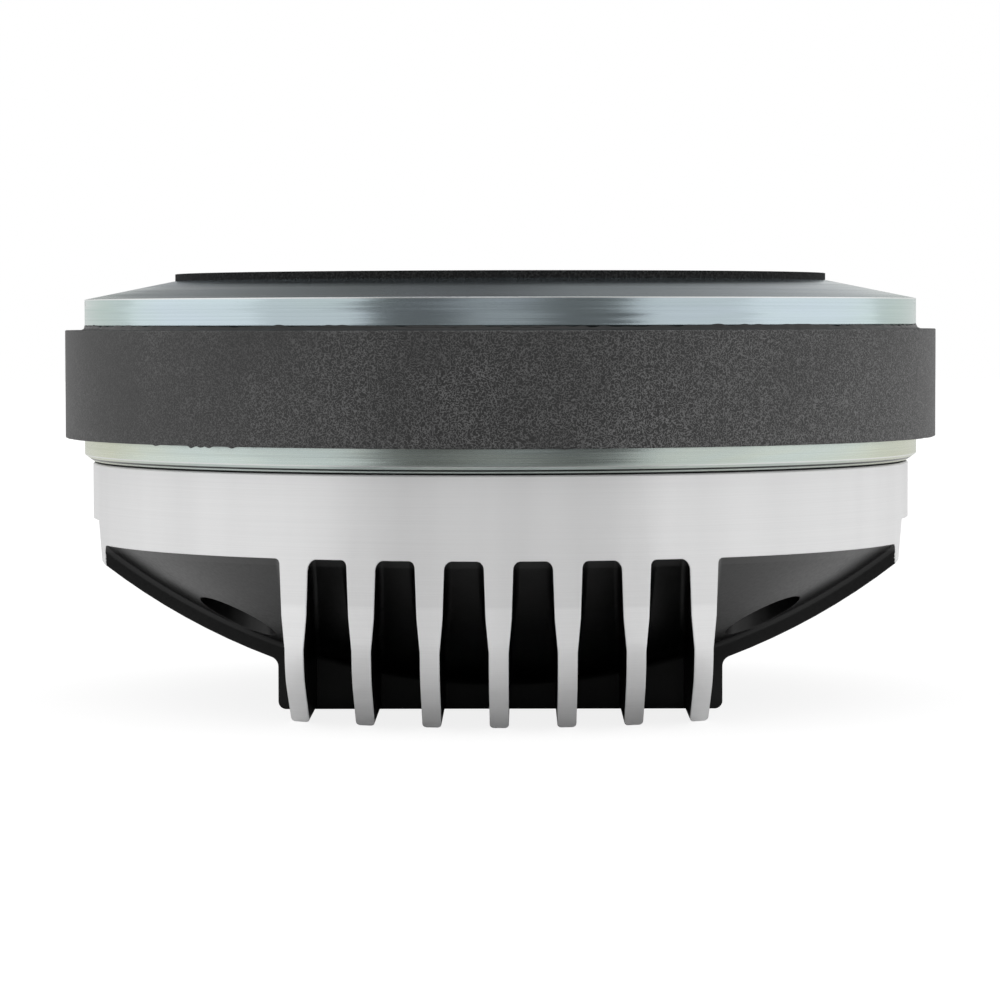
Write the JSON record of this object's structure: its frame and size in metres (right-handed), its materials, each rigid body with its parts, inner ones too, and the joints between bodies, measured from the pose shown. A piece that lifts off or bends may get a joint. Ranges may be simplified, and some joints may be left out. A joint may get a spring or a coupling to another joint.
{
  "type": "compression driver",
  "caption": "Compression driver: ferrite ring magnet between steel plates, finned cast rear cover with a cross bar, blade terminals, and a round throat in the mounting face.",
  "frame": {"origin": "centre of the throat's mouth on the steel mounting face, under the foam gasket", "axes": "+Z is the way sound leaves the throat, so the driver stands on its fins with its mouth up; Y runs along the fins and +Y is the side with the terminals; X runs along the cross bar"},
  "size_m": [0.17, 0.17, 0.083],
  "materials": {
    "front_gasket": "cellular foam, matt",
    "front_plate": "turned steel with a clear passivated plating",
    "front_glue_bead": "cured adhesive",
    "pole_piece": "turned steel",
    "shorting_ring": "copper sleeve, bare",
    "phase_plug": "moulded, matt black",
    "magnet_ring": "sintered ferrite, matt with a grain",
    "gap_plate": "turned steel with a clear passivated plating",
    "diaphragm_shim": "polyester sheet",
    "diaphragm_ring": "turned",
    "ring_screws": "zinc plated",
    "locating_pins": "ground",
    "diaphragm_surround": "polyester film",
    "diaphragm_dome": "thin drawn metal sheet",
    "coil_former": "polyimide sheet",
    "coil_winding": "enamelled ribbon wire",
    "lead_strips": "flat copper alloy strip",
    "cover_gasket": "thin sheet",
    "rear_cover": "cast aluminium, semi-gloss black with bare turned faces",
    "damping_pad": "open foam",
    "cover_washers": "zinc plated",
    "cover_screws": "black oxide",
    "terminal_block": "moulded, matt black",
    "terminal_tabs": "flat, tin plated",
    "terminal_screws": "zinc plated"
  },
  "bodies": {
    "driver": {"front_gasket": "front_gasket", "front_plate": "front_plate", "front_glue_bead": "front_glue_bead", "pole_piece": "pole_piece", "shorting_ring": "shorting_ring", "phase_plug": "phase_plug", "magnet_ring": "magnet_ring", "gap_plate": "gap_plate", "diaphragm_shim": "diaphragm_shim", "diaphragm_ring": "diaphragm_ring", "ring_screws": "ring_screws", "locating_pins": "locating_pins", "diaphragm_surround": "diaphragm_surround", "lead_strips": "lead_strips", "cover_gasket": "cover_gasket", "rear_cover": "rear_cover", "damping_pad": "damping_pad", "cover_washers": "cover_washers", "cover_screws": "cover_screws", "terminal_block": "terminal_block", "terminal_tabs": "terminal_tabs", "terminal_screws": "terminal_screws"},
    "diaphragm": {"diaphragm_dome": "diaphragm_dome", "coil_former": "coil_former", "coil_winding": "coil_winding"}
  },
  "joints": [
    {"name": "diaphragm_travel", "type": "slide", "parent": "driver", "child": "diaphragm", "axis": [0, 0, 1], "range_m": [-0.0004, 0.0004], "stiffness_N_per_m": 47800, "deforming": ["diaphragm_surround"]}
  ]
}
